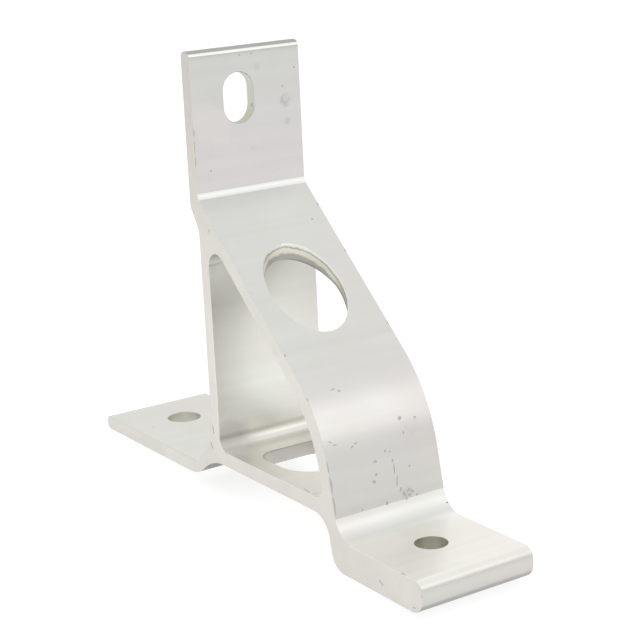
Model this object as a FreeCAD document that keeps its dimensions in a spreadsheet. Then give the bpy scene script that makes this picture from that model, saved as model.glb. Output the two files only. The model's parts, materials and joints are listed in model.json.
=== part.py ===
"""Roof bracket: one length sawn off an aluminium extrusion, then slotted and drilled.

The die gives the whole section in the XZ plane: an upright tab, a leg that slopes down to the
front and bends steeply into the thick front foot, an upright web and a level web that close a
triangle behind the leg, and a thin back foot. The piece is sawn to its width along Y.

The sketches take X = 0 at the tab's front face, Z = 0 under the back foot and Y = 0 halfway
between the sawn faces. The body's placement then puts the origin under the middle of the piece,
level with the underside of the front foot. Lengths are millimetres, angles are degrees.
"""
import FreeCAD, Part
import math
import os

import Sketcher
from FreeCAD import Vector

NODE = "bracket_extrusion"

DIMENSIONS = [
    ("width", 40.0, "between the two sawn faces, along Y"),
    ("wall", 5.0, "tab and leg"),
    ("web_wall", 4.7, "upright web and level web"),
    ("tab_height", 140.0, "top of the tab"),
    ("tab_root_height", 94.8, "where the tab's front face meets the sloping leg"),
    ("slope_angle", 41.8, "sloping leg below the horizontal"),
    ("leg_angle", 78.7, "lower leg below the horizontal"),
    ("toe_reach", 70.8, "where the lower leg meets the top of the front foot"),
    ("front_reach", 111.0, "end of the front foot"),
    ("front_foot_thick", 10.0, "front foot"),
    ("back_foot_thick", 4.7, "back foot"),
    ("foot_drop", 7.7, "front foot's underside below the back foot's"),
    ("back_reach", 76.0, "end of the back foot, behind the tab's front face"),
    ("web_setback", 0.5, "upright web's rear face behind the tab's front face"),
    ("web_level", 8.0, "underside of the level web"),
    ("under_ramp_start", 11.6, "back foot's underside turns up here, behind the tab's front"),
    ("under_ramp_angle", 36.0, "rise of the underside to the level web"),
    ("upper_ramp_start", 11.7, "back foot's top turns up here, behind the tab's front"),
    ("upper_ramp_angle", 42.5, "rise of the top to the upright web"),
    ("joggle_height", 84.3, "where the upright web's rear face steps back to the tab's"),
    ("joggle_angle", 57.5, "that step, from the horizontal"),
    ("tab_top_radius", 2.0, "both top corners of the tab"),
    ("tab_root_radius", 2.5, "hollow between the tab and the sloping leg"),
    ("knee_radius", 50.0, "outer bend from the sloping leg to the lower leg"),
    ("toe_radius", 8.0, "hollows above the front foot and under the level web"),
    ("foot_end_radius", 3.5, "top corner at the end of the front foot"),
    ("foot_end_under_radius", 5.0, "bottom corner at the end of the front foot"),
    ("heel_radius", 6.0, "under the lower leg"),
    ("back_end_radius", 2.0, "both corners at the end of the back foot"),
    ("under_ramp_radius", 17.0, "underside, where the back foot turns up"),
    ("under_web_radius", 20.0, "underside, where the ramp runs into the level web"),
    ("upper_ramp_radius", 4.0, "top, where the back foot turns up"),
    ("upper_web_radius", 10.0, "top, where the ramp runs into the upright web"),
    ("joggle_low_radius", 9.0, "foot of the step behind the tab"),
    ("joggle_high_radius", 3.0, "head of the step behind the tab"),
    ("apex_radius", 5.0, "top corner of the triangular opening"),
    ("corner_radius", 4.0, "two bottom corners of the triangular opening"),
    ("slot_width", 11.0, "slot in the tab"),
    ("slot_length", 16.0, "slot in the tab, end to end"),
    ("slot_height", 124.1, "middle of the slot"),
    ("slot_offset", -2.9, "slot's middle from the mid-width plane, along Y"),
    ("access_diameter", 25.3, "large hole drilled straight down through the sloping leg"),
    ("access_reach", 29.7, "its axis in front of the tab"),
    ("access_offset", -0.8, "its axis from the mid-width plane, along Y"),
    ("access_deburr", 2.0, "edge broken under the leg, round the large hole"),
    ("web_opening_back", 15.8, "straight back edge of the opening below it, in the level web"),
    ("web_opening_radius", 6.0, "that opening's two back corners"),
    ("cutter_clearance", 1.0, "how far a cut runs past the face it breaks through"),
    ("front_hole_diameter", 10.0, "fixing hole in the front foot"),
    ("back_hole_diameter", 11.5, "fixing hole in the back foot"),
    ("front_hole_reach", 89.0, "front fixing hole in front of the tab"),
    ("back_hole_reach", 55.3, "back fixing hole behind the tab's front face"),
]

# Each line: radius alias, then the corners of the section that it rounds.
ROUNDS = [
    ("tab_top_radius", ["tab_top_front", "tab_top_rear"]),
    ("tab_root_radius", ["tab_root"]),
    ("toe_radius", ["toe", "leg_rear"]),
    ("foot_end_radius", ["front_end_top"]),
    ("foot_end_under_radius", ["front_end_under"]),
    ("heel_radius", ["heel"]),
    ("back_end_radius", ["back_end_under", "back_end_top"]),
    ("under_ramp_radius", ["under_ramp_foot"]),
    ("under_web_radius", ["under_ramp_head"]),
    ("upper_ramp_radius", ["upper_ramp_foot"]),
    ("upper_web_radius", ["upper_ramp_head"]),
    ("joggle_low_radius", ["joggle_foot"]),
    ("joggle_high_radius", ["joggle_head"]),
    ("apex_radius", ["apex"]),
    ("corner_radius", ["opening_front", "opening_back"]),
    ("knee_radius", ["knee"]),
    ("knee_radius - Dimensions.wall", ["knee_inside"]),
]


def add_sheet(doc):
    """Spreadsheet of driving dimensions: name, value and meaning, one row each."""
    sheet = doc.addObject("Spreadsheet::Sheet", "Dimensions")
    for row, (alias, value, meaning) in enumerate(DIMENSIONS, start=1):
        sheet.set(f"A{row}", alias)
        sheet.set(f"B{row}", str(value))
        sheet.set(f"C{row}", meaning)
        sheet.setAlias(f"B{row}", alias)
    doc.recompute()
    return sheet


def slope(angle):
    return math.tan(math.radians(angle))


def section_corners(sheet):
    """Sharp corners of the outer section, in order from the tab's top front corner."""
    foot_top = sheet.front_foot_thick - sheet.foot_drop
    lean = 1 / slope(sheet.leg_angle)
    leg_gap = sheet.wall / math.sin(math.radians(sheet.leg_angle))
    knee_height = (sheet.tab_root_height - slope(sheet.slope_angle)
                   * (sheet.toe_reach + foot_top * lean)) / (1 - slope(sheet.slope_angle) * lean)
    knee_reach = (sheet.tab_root_height - knee_height) / slope(sheet.slope_angle)

    def leg_rear(height):
        return sheet.toe_reach + (foot_top - height) * lean - leg_gap

    under_head = sheet.web_level / slope(sheet.under_ramp_angle) - sheet.under_ramp_start
    upper_head = (sheet.back_foot_thick
                  + (sheet.upper_ramp_start - sheet.web_setback) * slope(sheet.upper_ramp_angle))
    joggle_head = sheet.joggle_height + (sheet.wall - sheet.web_setback) * slope(sheet.joggle_angle)
    return {
        "tab_top_front": (0, sheet.tab_height),
        "tab_root": (0, sheet.tab_root_height),
        "knee": (knee_reach, knee_height),
        "toe": (sheet.toe_reach, foot_top),
        "front_end_top": (sheet.front_reach, foot_top),
        "front_end_under": (sheet.front_reach, -sheet.foot_drop),
        "heel": (leg_rear(-sheet.foot_drop), -sheet.foot_drop),
        "leg_rear": (leg_rear(sheet.web_level), sheet.web_level),
        "under_ramp_head": (under_head, sheet.web_level),
        "under_ramp_foot": (-sheet.under_ramp_start, 0),
        "back_end_under": (-sheet.back_reach, 0),
        "back_end_top": (-sheet.back_reach, sheet.back_foot_thick),
        "upper_ramp_foot": (-sheet.upper_ramp_start, sheet.back_foot_thick),
        "upper_ramp_head": (-sheet.web_setback, upper_head),
        "joggle_foot": (-sheet.web_setback, sheet.joggle_height),
        "joggle_head": (-sheet.wall, joggle_head),
        "tab_top_rear": (-sheet.wall, sheet.tab_height),
    }


def opening_corners(sheet, outer):
    """Sharp corners of the triangular opening, a wall's thickness inside the leg."""
    drop = sheet.wall / math.cos(math.radians(sheet.slope_angle))
    shift = sheet.wall / math.sin(math.radians(sheet.leg_angle))
    lean = 1 / slope(sheet.leg_angle)
    web_front = sheet.web_wall - sheet.web_setback
    floor = sheet.web_level + sheet.web_wall

    def leg_line(height):
        return outer["toe"][0] + (outer["toe"][1] - height) * lean - shift

    under_root = sheet.tab_root_height - drop
    fall = slope(sheet.slope_angle)
    knee_height = (under_root - fall * leg_line(0)) / (1 - fall * lean)
    return {
        "apex": (web_front, under_root - web_front * slope(sheet.slope_angle)),
        "knee_inside": (leg_line(knee_height), knee_height),
        "opening_front": (leg_line(floor), floor),
        "opening_back": (web_front, floor),
    }


def new_sketch(body, name, plane):
    """Sketch lying on one of the body's own origin planes."""
    sketch = body.newObject("Sketcher::SketchObject", name)
    support = next(f for f in body.Origin.OriginFeatures if f.Role == plane)
    sketch.AttachmentSupport = (support, [""])
    sketch.MapMode = "FlatFace"
    return sketch


def add_loop(sketch, corners):
    """Closed loop of lines through the corners; returns the line that starts at each corner."""
    names = list(corners)
    points = [Vector(x, z, 0) for x, z in corners.values()]
    lines = {}
    for index, name in enumerate(names):
        following = points[(index + 1) % len(points)]
        lines[name] = sketch.addGeometry(Part.LineSegment(points[index], following), False)
    for index, name in enumerate(names):
        following = names[(index + 1) % len(names)]
        sketch.addConstraint(Sketcher.Constraint("Coincident", lines[name], 2, lines[following], 1))
    return lines


def level(sketch, lines, names):
    for name in names:
        sketch.addConstraint(Sketcher.Constraint("Horizontal", lines[name]))


def upright(sketch, lines, names):
    for name in names:
        sketch.addConstraint(Sketcher.Constraint("Vertical", lines[name]))


def bind(sketch, constraint, name, expression):
    """Add a named sketch constraint and drive it from the sheet."""
    index = sketch.addConstraint(constraint)
    sketch.renameConstraint(index, name)
    sketch.setExpression(f"Constraints.{name}", expression)


def place(sketch, line, direction, value, name, expression):
    """Signed distance of a line's first point from the sketch origin, along X or Y."""
    origin, start = (-1, 1), (line, 1)
    constraint = Sketcher.Constraint(f"Distance{direction}", *origin, *start, value)
    bind(sketch, constraint, name, expression)


def add_section(body, sheet):
    """The extrusion's section: outer loop and triangular opening, fully dimensioned."""
    sketch = new_sketch(body, "Section", "XZ_Plane")
    outer = section_corners(sheet)
    lines = add_loop(sketch, outer)
    level(sketch, lines, ["toe", "front_end_under", "leg_rear", "under_ramp_foot",
                          "back_end_top", "tab_top_rear"])
    upright(sketch, lines, ["tab_top_front", "front_end_top", "back_end_under",
                            "upper_ramp_head", "joggle_head"])
    reaches = {
        "tab_top_front": "0",
        "toe": "Dimensions.toe_reach",
        "front_end_top": "Dimensions.front_reach",
        "under_ramp_foot": "-Dimensions.under_ramp_start",
        "back_end_under": "-Dimensions.back_reach",
        "upper_ramp_foot": "-Dimensions.upper_ramp_start",
        "upper_ramp_head": "-Dimensions.web_setback",
        "joggle_head": "-Dimensions.wall",
    }
    heights = {
        "tab_top_front": "Dimensions.tab_height",
        "tab_root": "Dimensions.tab_root_height",
        "toe": "Dimensions.front_foot_thick - Dimensions.foot_drop",
        "front_end_under": "-Dimensions.foot_drop",
        "leg_rear": "Dimensions.web_level",
        "under_ramp_foot": "0",
        "back_end_top": "Dimensions.back_foot_thick",
        "joggle_foot": "Dimensions.joggle_height",
    }
    for name, expression in reaches.items():
        place(sketch, lines[name], "X", outer[name][0], f"{name}_reach", expression)
    for name, expression in heights.items():
        place(sketch, lines[name], "Y", outer[name][1], f"{name}_height", expression)
    angles = {
        "tab_root": -sheet.slope_angle,
        "knee": -sheet.leg_angle,
        "under_ramp_head": sheet.under_ramp_angle - 180,
        "upper_ramp_foot": sheet.upper_ramp_angle,
        "joggle_foot": 180 - sheet.joggle_angle,
    }
    formulas = {
        "tab_root": "-Dimensions.slope_angle",
        "knee": "-Dimensions.leg_angle",
        "under_ramp_head": "Dimensions.under_ramp_angle - 180",
        "upper_ramp_foot": "Dimensions.upper_ramp_angle",
        "joggle_foot": "180 - Dimensions.joggle_angle",
    }
    for name, angle in angles.items():
        constraint = Sketcher.Constraint("Angle", lines[name], math.radians(angle))
        bind(sketch, constraint, f"{name}_angle", formulas[name])

    inner = opening_corners(sheet, outer)
    inside = add_loop(sketch, inner)
    level(sketch, inside, ["opening_front"])
    upright(sketch, inside, ["opening_back"])
    for follower, leader in ((inside["apex"], lines["tab_root"]),
                             (inside["knee_inside"], lines["knee"]),
                             (lines["heel"], lines["knee"])):
        sketch.addConstraint(Sketcher.Constraint("Parallel", follower, leader))
    for name, line, leader in (("leg_wall", inside["apex"], lines["tab_root"]),
                               ("lower_leg_wall", inside["knee_inside"], lines["knee"]),
                               ("leg_rear_wall", lines["heel"], lines["knee"])):
        bind(sketch, Sketcher.Constraint("Distance", line, 2, leader, sheet.wall), name, "Dimensions.wall")
    place(sketch, inside["opening_back"], "X", inner["opening_back"][0], "opening_back_reach",
          "Dimensions.web_wall - Dimensions.web_setback")
    place(sketch, inside["opening_back"], "Y", inner["opening_back"][1], "opening_back_height",
          "Dimensions.web_level + Dimensions.web_wall")
    return sketch, {**lines, **inside}


def corner_edges(shape, sketch, lines, names):
    """Names of the edges along Y that run through the named corners of the section."""
    found = []
    for name in names:
        point = sketch.Geometry[lines[name]].StartPoint
        for number, edge in enumerate(shape.Edges, start=1):
            ends = [vertex.Point for vertex in edge.Vertexes]
            at_corner = [math.hypot(end.x - point.x, end.z - point.y) < 1e-4 for end in ends]
            if len(ends) == 2 and all(at_corner):
                found.append(f"Edge{number}")
    if len(found) != len(names):
        raise RuntimeError(f"corners {names} match edges {found}")
    return found


def add_rounds(doc, body, pad, sketch, lines):
    """Round every corner of the section, one fillet feature for each radius."""
    feature = pad
    for alias, corners in ROUNDS:
        edges = corner_edges(feature.Shape, sketch, lines, corners)
        fillet = body.newObject("PartDesign::Fillet", "Round_" + "_".join(corners))
        fillet.Base = (feature, edges)
        fillet.setExpression("Radius", f"Dimensions.{alias}")
        doc.recompute()
        feature = fillet
    return feature


def add_slot_sketch(body, sheet):
    """Upright slot with round ends, drawn on the YZ plane."""
    sketch = new_sketch(body, "SlotOutline", "YZ_Plane")
    radius = sheet.slot_width / 2
    half = sheet.slot_length / 2 - radius
    middle = Vector(sheet.slot_offset, sheet.slot_height, 0)
    top, bottom = middle + Vector(0, half, 0), middle - Vector(0, half, 0)
    side = Vector(radius, 0, 0)
    axis = Vector(0, 0, 1)
    upper_end = Part.ArcOfCircle(Part.Circle(top, axis, radius), 0, math.pi)
    lower_end = Part.ArcOfCircle(Part.Circle(bottom, axis, radius), math.pi, 2 * math.pi)
    upper = sketch.addGeometry(upper_end, False)
    lower = sketch.addGeometry(lower_end, False)
    near = sketch.addGeometry(Part.LineSegment(top - side, bottom - side), False)
    far = sketch.addGeometry(Part.LineSegment(bottom + side, top + side), False)
    for first, first_end, second, second_end in ((upper, 2, near, 1), (near, 2, lower, 1),
                                                 (lower, 2, far, 1), (far, 2, upper, 1)):
        sketch.addConstraint(Sketcher.Constraint("Tangent", first, first_end, second, second_end))
    sketch.addConstraint(Sketcher.Constraint("Vertical", near))
    bind(sketch, Sketcher.Constraint("Radius", upper, radius), "end_radius", "Dimensions.slot_width / 2")
    centre_gap = "Dimensions.slot_length - Dimensions.slot_width"
    bind(sketch, Sketcher.Constraint("DistanceY", lower, 3, upper, 3, 2 * half), "centre_gap", centre_gap)
    bind(sketch, Sketcher.Constraint("DistanceX", -1, 1, upper, 3, middle.x), "offset",
         "Dimensions.slot_offset")
    bind(sketch, Sketcher.Constraint("DistanceY", -1, 1, upper, 3, top.y), "upper_centre",
         f"Dimensions.slot_height + ({centre_gap}) / 2")
    return sketch


def add_circles(sketch, circles):
    """Circles, each given as name, centre, diameter and the formulas that drive them."""
    for name, reach, offset, diameter, formulas in circles:
        outline = Part.Circle(Vector(reach, offset, 0), Vector(0, 0, 1), diameter / 2)
        circle = sketch.addGeometry(outline, False)
        across = Sketcher.Constraint("DistanceX", -1, 1, circle, 3, reach)
        along = Sketcher.Constraint("DistanceY", -1, 1, circle, 3, offset)
        bind(sketch, across, f"{name}_reach", formulas[0])
        bind(sketch, along, f"{name}_offset", formulas[1])
        bind(sketch, Sketcher.Constraint("Diameter", circle, diameter), f"{name}_diameter", formulas[2])


def add_foot_hole_sketch(body, sheet):
    """One fixing hole in each foot, seen from above."""
    sketch = new_sketch(body, "FootHoleOutlines", "XY_Plane")
    add_circles(sketch, [
        ("back", -sheet.back_hole_reach, 0, sheet.back_hole_diameter,
         ("-Dimensions.back_hole_reach", "0", "Dimensions.back_hole_diameter")),
        ("front", sheet.front_hole_reach, 0, sheet.front_hole_diameter,
         ("Dimensions.front_hole_reach", "0", "Dimensions.front_hole_diameter")),
    ])
    return sketch


def add_access_sketch(body, sheet):
    """Circle of the large hole, on a level just above the level web."""
    sketch = new_sketch(body, "AccessHoleOutline", "XY_Plane")
    sketch.setExpression("AttachmentOffset.Base.z",
                         "Dimensions.web_level + Dimensions.web_wall + Dimensions.cutter_clearance")
    add_circles(sketch, [
        ("access", sheet.access_reach, sheet.access_offset, sheet.access_diameter,
         ("Dimensions.access_reach", "Dimensions.access_offset", "Dimensions.access_diameter")),
    ])
    return sketch


def add_web_opening_sketch(body, sheet):
    """Opening in the level web: straight at the back, half a circle at the front."""
    sketch = new_sketch(body, "WebOpeningOutline", "XY_Plane")
    radius, corner = sheet.access_diameter / 2, sheet.web_opening_radius
    back, middle = sheet.web_opening_back, Vector(sheet.access_reach, sheet.access_offset, 0)
    side, axis = Vector(0, radius, 0), Vector(0, 0, 1)
    near, far = middle - side, middle + side
    near_corner = Vector(back + corner, near.y + corner, 0)
    far_corner = Vector(back + corner, far.y - corner, 0)

    def line(start, end):
        return sketch.addGeometry(Part.LineSegment(start, end), False)

    def arc(centre, size, start, end):
        circle = Part.Circle(centre, axis, size)
        return sketch.addGeometry(Part.ArcOfCircle(circle, math.radians(start), math.radians(end)), False)

    front = arc(middle, radius, -90, 90)
    far_side = line(far, Vector(far_corner.x, far.y, 0))
    far_round = arc(far_corner, corner, 90, 180)
    back_side = line(Vector(back, far_corner.y, 0), Vector(back, near_corner.y, 0))
    near_round = arc(near_corner, corner, 180, 270)
    near_side = line(Vector(near_corner.x, near.y, 0), near)
    loop = [front, far_side, far_round, back_side, near_round, near_side]
    for current, following in zip(loop, loop[1:] + loop[:1]):
        sketch.addConstraint(Sketcher.Constraint("Tangent", current, 2, following, 1))
    sketch.addConstraint(Sketcher.Constraint("Vertical", back_side))
    sketch.addConstraint(Sketcher.Constraint("Horizontal", far_side))
    sketch.addConstraint(Sketcher.Constraint("Horizontal", near_side))
    sketch.addConstraint(Sketcher.Constraint("Equal", far_round, near_round))
    for name, constraint, formula in (
            ("front_radius", Sketcher.Constraint("Radius", front, radius), "Dimensions.access_diameter / 2"),
            ("front_reach", Sketcher.Constraint("DistanceX", -1, 1, front, 3, middle.x),
             "Dimensions.access_reach"),
            ("front_offset", Sketcher.Constraint("DistanceY", -1, 1, front, 3, middle.y),
             "Dimensions.access_offset"),
            ("corner_radius", Sketcher.Constraint("Radius", far_round, corner),
             "Dimensions.web_opening_radius"),
            ("back_reach", Sketcher.Constraint("DistanceX", -1, 1, back_side, 1, back),
             "Dimensions.web_opening_back")):
        bind(sketch, constraint, name, formula)
    return sketch


def cut(doc, body, sketch, name, kind, side, length=None):
    """Pocket that has to remove metal: kind and side are FreeCAD's own words for its extent."""
    before = body.Shape.Volume
    pocket = body.newObject("PartDesign::Pocket", name)
    pocket.Profile = sketch
    pocket.Type = kind
    pocket.SideType = side
    if length:
        pocket.setExpression("Length", length)
    if side == "One side":
        pocket.Reversed = True
    doc.recompute()
    if body.Shape.Volume >= before - 1:
        raise RuntimeError(f"{name} cut nothing")
    return pocket


def break_access_edge(doc, body, pocket, sheet):
    """Chamfer the large hole's edge on the underside of the sloping leg."""
    centre = Vector(sheet.access_reach, sheet.access_offset, 0)
    drop = sheet.wall / math.cos(math.radians(sheet.slope_angle))

    def on_lower_rim(edge):
        points = edge.discretize(8)
        under = [sheet.tab_root_height - drop - p.x * slope(sheet.slope_angle) for p in points]
        return all(abs(math.hypot(p.x - centre.x, p.y - centre.y) - sheet.access_diameter / 2) < 1e-3
                   and abs(p.z - height) < 1e-3 for p, height in zip(points, under))

    rim = [f"Edge{n}" for n, edge in enumerate(pocket.Shape.Edges, start=1) if on_lower_rim(edge)]
    if not rim:
        raise RuntimeError("the large hole's lower rim wasn't found")
    chamfer = body.newObject("PartDesign::Chamfer", "AccessDeburr")
    chamfer.Base = (pocket, rim)
    chamfer.setExpression("Size", "Dimensions.access_deburr")
    doc.recompute()
    return chamfer


def add_bracket(doc, sheet):
    """The whole piece: padded section, rounds, slot, holes, then its placement."""
    body = doc.addObject("PartDesign::Body", NODE)
    body.Label = NODE
    sketch, lines = add_section(body, sheet)
    doc.recompute()
    pad = body.newObject("PartDesign::Pad", "SawnLength")
    pad.Profile = sketch
    pad.SideType = "Symmetric"
    pad.setExpression("Length", "Dimensions.width")
    doc.recompute()
    add_rounds(doc, body, pad, sketch, lines)
    cut(doc, body, add_slot_sketch(body, sheet), "TabSlot", "ThroughAll", "Symmetric")
    cut(doc, body, add_foot_hole_sketch(body, sheet), "FootHoles", "ThroughAll", "Symmetric")
    cut(doc, body, add_web_opening_sketch(body, sheet), "WebOpening", "Length", "One side",
        "Dimensions.web_level + Dimensions.web_wall + Dimensions.cutter_clearance")
    access = cut(doc, body, add_access_sketch(body, sheet), "AccessHole", "ThroughAll", "One side")
    break_access_edge(doc, body, access, sheet)
    body.setExpression(".Placement.Base.x", "(Dimensions.back_reach - Dimensions.front_reach) / 2")
    body.setExpression(".Placement.Base.z", "Dimensions.foot_drop")
    doc.recompute()
    return body


def check(doc, bodies):
    """Stop if any object failed to compute or any piece isn't one valid solid."""
    for item in doc.Objects:
        bad = [state for state in item.State if state in ("Invalid", "Error")]
        if bad:
            raise RuntimeError(f"{item.Name} is {bad}")
    for body in bodies:
        shape = body.Shape
        if shape.isNull() or not shape.isValid() or len(shape.Solids) != 1:
            raise RuntimeError(f"{body.Label} isn't one valid solid")


def main():
    doc = FreeCAD.newDocument("RoofBracket")
    sheet = add_sheet(doc)
    bodies = [add_bracket(doc, sheet)]
    doc.recompute()
    check(doc, bodies)
    os.makedirs("parts", exist_ok=True)
    for body in bodies:
        body.Shape.exportStep(f"parts/{body.Label}.step")
        box = body.Shape.BoundBox
        print(body.Label, "volume", round(body.Shape.Volume, 1), "mm3, box",
              [round(v, 3) for v in (box.XMin, box.YMin, box.ZMin, box.XMax, box.YMax, box.ZMax)])


main()
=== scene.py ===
import json
import math

import bmesh
import bpy
from mathutils import Matrix, Quaternion, Vector, noise
from mathutils.geometry import tessellate_polygon


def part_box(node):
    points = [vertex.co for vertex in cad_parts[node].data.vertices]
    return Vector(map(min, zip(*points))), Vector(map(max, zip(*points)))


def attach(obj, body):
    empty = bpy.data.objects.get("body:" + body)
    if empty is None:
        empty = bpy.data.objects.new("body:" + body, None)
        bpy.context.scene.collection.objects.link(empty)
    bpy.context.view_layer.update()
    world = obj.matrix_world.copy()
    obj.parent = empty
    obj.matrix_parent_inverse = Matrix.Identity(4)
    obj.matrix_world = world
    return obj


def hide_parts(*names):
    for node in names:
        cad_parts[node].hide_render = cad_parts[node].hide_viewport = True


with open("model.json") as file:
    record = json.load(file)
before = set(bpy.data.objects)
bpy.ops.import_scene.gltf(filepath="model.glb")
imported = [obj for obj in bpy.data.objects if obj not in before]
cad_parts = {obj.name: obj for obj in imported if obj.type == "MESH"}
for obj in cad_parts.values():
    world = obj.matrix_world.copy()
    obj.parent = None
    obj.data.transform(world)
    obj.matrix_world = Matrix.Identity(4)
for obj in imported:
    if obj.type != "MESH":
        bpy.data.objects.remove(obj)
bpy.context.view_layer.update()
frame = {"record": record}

# Roof bracket: the looks of one sawn, slotted and drilled length of aluminium extrusion.
# Lengths are metres and angles are degrees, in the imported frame: X runs along the feet to the
# front, Y across the width and Z up. Outlines lie in the XZ plane.

NODE = "bracket_extrusion"
BODY = "root"
MM = 0.001

# The section, as the extrusion's die gives it. Reaches and heights start at the tab's front face
# and at the underside of the back foot.
WALL = 5.0 * MM
WEB_WALL = 4.7 * MM
TAB_ROOT_HEIGHT = 94.8 * MM
SLOPE_ANGLE = 41.8
LEG_ANGLE = 78.7
TOE_REACH = 70.8 * MM
FRONT_REACH = 111.0 * MM
FRONT_FOOT_THICK = 10.0 * MM
BACK_FOOT_THICK = 4.7 * MM
FOOT_DROP = 7.7 * MM
WEB_SETBACK = 0.5 * MM
WEB_LEVEL = 8.0 * MM
UNDER_RAMP_START = 11.6 * MM
UNDER_RAMP_ANGLE = 36.0
UPPER_RAMP_START = 11.7 * MM
UPPER_RAMP_ANGLE = 42.5
JOGGLE_HEIGHT = 84.3 * MM
JOGGLE_ANGLE = 57.5
TAB_TOP_RADIUS = 2.0 * MM
TAB_ROOT_RADIUS = 2.5 * MM
KNEE_RADIUS = 50.0 * MM
TOE_RADIUS = 8.0 * MM
FOOT_END_RADIUS = 3.5 * MM
FOOT_END_UNDER_RADIUS = 5.0 * MM
HEEL_RADIUS = 6.0 * MM
BACK_END_RADIUS = 2.0 * MM
UNDER_RAMP_RADIUS = 17.0 * MM
UNDER_WEB_RADIUS = 20.0 * MM
UPPER_RAMP_RADIUS = 4.0 * MM
UPPER_WEB_RADIUS = 10.0 * MM
JOGGLE_LOW_RADIUS = 9.0 * MM
JOGGLE_HIGH_RADIUS = 3.0 * MM
APEX_RADIUS = 5.0 * MM
CORNER_RADIUS = 4.0 * MM

# The large hole and the opening below it.
ACCESS_RADIUS = 12.65 * MM
ACCESS_REACH = 29.7 * MM
ACCESS_OFFSET = -0.8 * MM
ACCESS_DEBURR = 2.0 * MM
WEB_OPENING_BACK = 15.8 * MM
WEB_OPENING_RADIUS = 6.0 * MM

# Finish of the edges, and how finely arcs are divided.
SAWN_BREAK = 0.15 * MM
RIM_BREAK = 0.35 * MM
FRONT_HOLE_BREAK = 0.15 * MM
SLOT_REAR_BREAK = 1.1 * MM
ACCESS_LIP = 0.3 * MM
CUT_CLEARANCE = 1.0 * MM
ARC_TURN = 6.0
ARC_CHORD = 1.3 * MM
HOLE_SIDES = 72
ACCESS_SIDES = 96
ARC_SHARE = 0.999  # keeps neighbouring arcs of an outline apart
SHARP_ANGLE = 32.0

# Bends that get a painted highlight, a brighter finish than the flat walls: corner of the section, middle
# above it, reach.
PAINTED_HIGHLIGHT_BENDS = [("tab_root", 0.0, 1.6 * MM), ("toe", 3.2 * MM, 5.6 * MM),
                ("tab_top_front", -1.0 * MM, 0.5 * MM)]

# Marks of handling: middle across the width and height, half length, half width, turn from Y.
# Many of the middles in the tables of dents and in the table of stains on the mill finish were worked out
# by a separate program. Some are kept as it gave them and some were adjusted.
FRONT_DENTS = [
    (8.6, 39.8, 0.8, 0.6, 40), (14.0, 39.0, 0.5, 0.4, 0), (8.6, 35.6, 0.5, 0.35, 60),
    (-10.2, 35.5, 0.6, 0.35, 30), (-8.8, 36.2, 0.7, 0.2, 10), (0.8, 31.9, 0.6, 0.35, 50),
    (2.4, 31.4, 0.4, 0.25, 20), (-3.3, 29.6, 0.8, 0.45, 10), (-3.6, 25.8, 0.6, 0.45, 70),
    (-4.7, 23.9, 0.8, 0.5, 160), (-1.3, 16.8, 0.7, 0.45, 80), (-10.4, 16.9, 0.5, 0.2, 75),
    (8.6, 25.7, 0.4, 0.25, 60), (-17.3, 38.3, 0.9, 0.2, 150), (-15.9, 37.2, 0.8, 0.2, 170),
    (2.9, 28.6, 0.7, 0.3, 60), (3.1, 26.2, 1.9, 0.22, 85), (3.4, 22.3, 2.0, 0.22, 80),
    (4.2, 19.5, 1.0, 0.32, 65), (5.3, 18.0, 1.0, 0.35, 120), (6.9, 18.8, 0.8, 0.3, 30),
    (8.3, 18.2, 0.8, 0.3, 150), (7.0, 17.3, 0.9, 0.25, 10), (5.9, 16.4, 0.5, 0.3, 90),
    (9.8, 16.8, 0.6, 0.35, 20), (-8.5, 50.5, 0.5, 0.4, 0), (-10.4, 51.2, 1.0, 0.18, 15),
    (14.6, 92.1, 0.4, 0.35, 0), (19.7, 95.7, 0.7, 0.3, 60),
    (19.6, 82.8, 0.6, 0.3, 60), (19.7, 63.4, 0.5, 0.3, 60), (-19.9, 61.3, 0.6, 0.4, 70),
    (-19.9, 50.3, 0.5, 0.3, 80), (-1.9, 145.0, 0.35, 0.3, 0), (2.4, 145.0, 0.35, 0.3, 0),
    (13.3, 133.6, 0.4, 0.35, 0), (-14.5, 110.2, 0.4, 0.35, 0), (18.1, 139.1, 0.4, 0.35, 0),
    # The dents on the near edge (across -20) draw a dark line along it: a cut-in burr, darkened partly as
    # painted shade.
    (-20.0, 123.0, 1.4, 0.55, 90), (-20.0, 118.6, 2.4, 0.4, 90), (-20.0, 113.6, 2.4, 0.4, 90),
    (-20.0, 31.6, 2.2, 0.5, 90), (-20.0, 26.4, 3.2, 0.85, 90), (-20.0, 20.4, 3.2, 0.75, 90),
]
# The same on the level faces: reach, across, height, half length, half width, turn from X.
LEVEL_DENTS = [
    (84.5, -19.7, 10.0, 1.0, 0.3, 10), (92.6, -18.9, 9.6, 0.5, 0.5, 0),
    (35.4, -18.9, 20.4, 3.0, 0.13, -8), (39.2, -18.2, 20.4, 1.5, 0.13, 80),
    (1.1, -11.7, 20.4, 0.6, 0.3, 40), (-70.0, -14.0, 12.4, 0.5, 0.3, 20),
    (54.2, 19.7, 12.4, 0.9, 0.8, 0),
]
# The same on walls that face the near side: reach, across, height, lengths, turn from X.
SIDE_DENTS = [
    (-17.1, -20.0, 26.5, 1.7, 0.4, 95), (-18.6, -20.0, 20.6, 1.5, 0.4, 125),
    (-11.6, -20.0, 92.9, 0.8, 0.3, 60), (93.3, -20.0, 6.2, 0.35, 0.35, 0),
    (89.6, -20.0, 1.6, 0.7, 0.2, 10), (74.0, -20.0, 3.8, 1.4, 0.35, 150),
    (-18.9, 2.56, 128.8, 0.6, 0.7, 0),
]
DENT_DEPTH = 0.15 * MM
DENT_SHARE = 0.9 * MM

LOW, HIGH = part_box(NODE)
TAB_X = HIGH.x - FRONT_REACH
BASE_Z = LOW.z + FOOT_DROP
HALF_WIDTH = (HIGH.y - LOW.y) / 2
MOUNTS = {mount["name"]: mount for mount in frame["record"]["mounts"]}
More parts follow.
